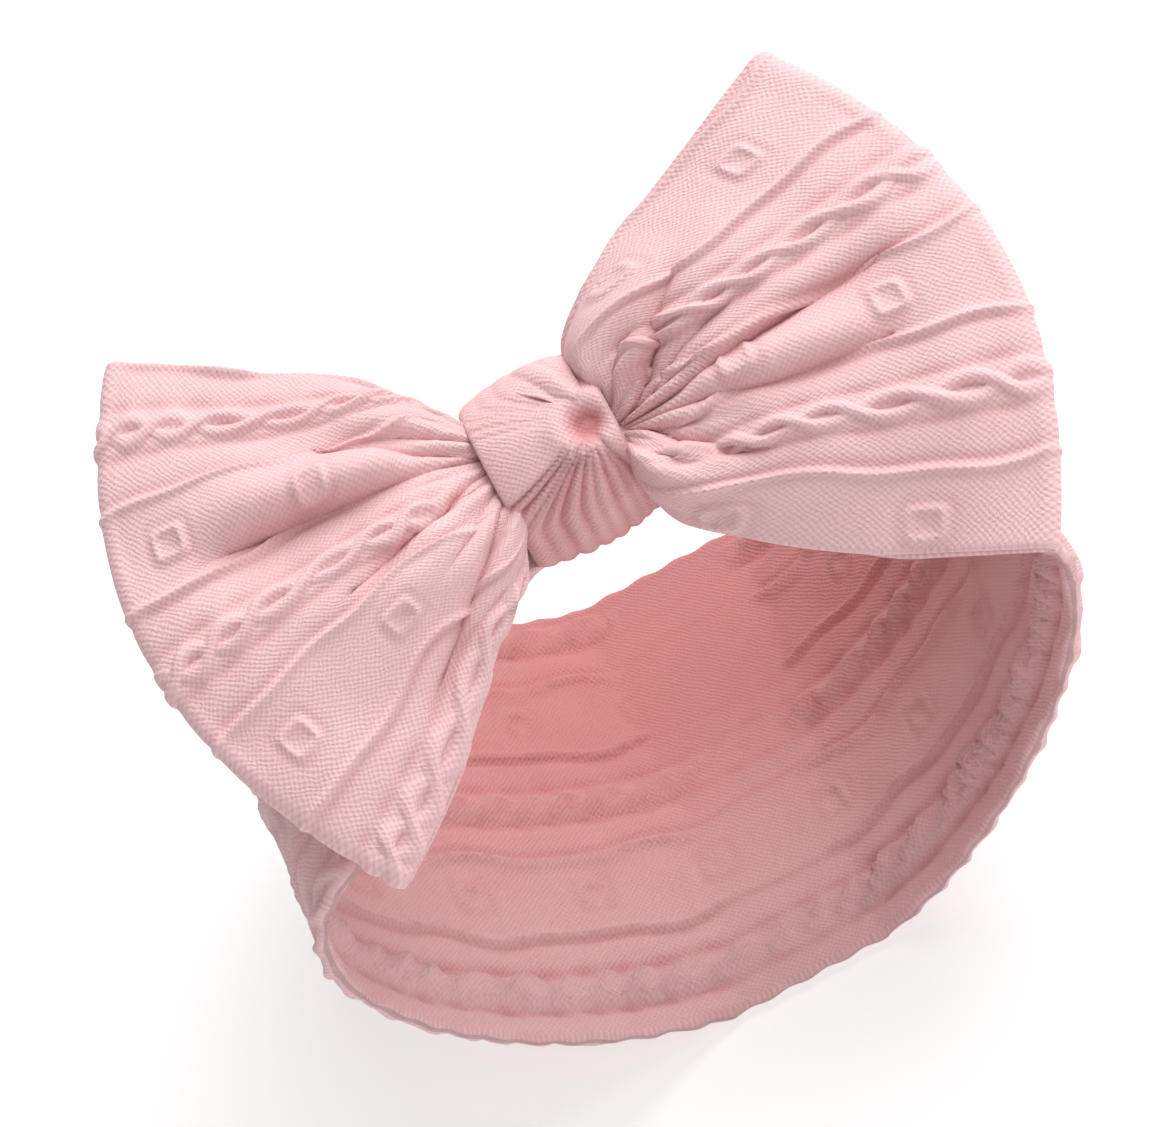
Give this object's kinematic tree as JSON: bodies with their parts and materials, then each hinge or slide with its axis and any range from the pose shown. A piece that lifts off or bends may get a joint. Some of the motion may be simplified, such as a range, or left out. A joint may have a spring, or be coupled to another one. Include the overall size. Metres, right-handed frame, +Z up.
{
  "type": "knotted bow headband",
  "caption": "Wide stretch-knit headband loop with a large folded bow knotted round its gathered front, for keeping hair off the face.",
  "frame": {"origin": "middle of the flat patch on the underside of the loop, where the band rests", "axes": "+Z up, with the bow on top; X along the bow; Y through the loop, with the rim that the bow leans over at -Y"},
  "size_m": [0.1975, 0.1358, 0.1779],
  "materials": {
    "band_knit": "matte",
    "bow_knit": "matte",
    "sewing_thread": "satin"
  },
  "bodies": {
    "band": {"head_band": "band_knit"},
    "front": {"band_gather": "band_knit", "band_join_stitches": "sewing_thread"},
    "bow": {"bow_centre_gather": "bow_knit", "knot_wrap": "bow_knit", "knot_tucked_end": "bow_knit", "knot_closing_stitches": "sewing_thread"},
    "left_loop": {"bow_left_loop": "bow_knit"},
    "right_loop": {"bow_right_loop": "bow_knit"}
  },
  "joints": [
    {"name": "band_stretch", "type": "slide", "parent": "band", "child": "front", "axis": [0, 0, 1], "range_m": [0, 0.05], "stiffness_N_per_m": 60, "deforming": ["head_band"]},
    {"name": "bow_tilt", "type": "hinge", "parent": "front", "child": "bow", "pos_m": [0, -0.01, 0.1272], "axis": [1, 0, 0], "range_deg": [-30, 3]},
    {"name": "left_loop_fold", "type": "hinge", "parent": "bow", "child": "left_loop", "pos_m": [-0.0149, -0.01562, 0.14111], "axis": [0, 0.9272, 0.3746], "range_deg": [0, 40], "stiffness_Nm_per_rad": 0.15},
    {"name": "right_loop_fold", "type": "hinge", "parent": "bow", "child": "right_loop", "pos_m": [0.0149, -0.01562, 0.14111], "axis": [0, -0.9272, -0.3746], "range_deg": [0, 40], "stiffness_Nm_per_rad": 0.15}
  ]
}
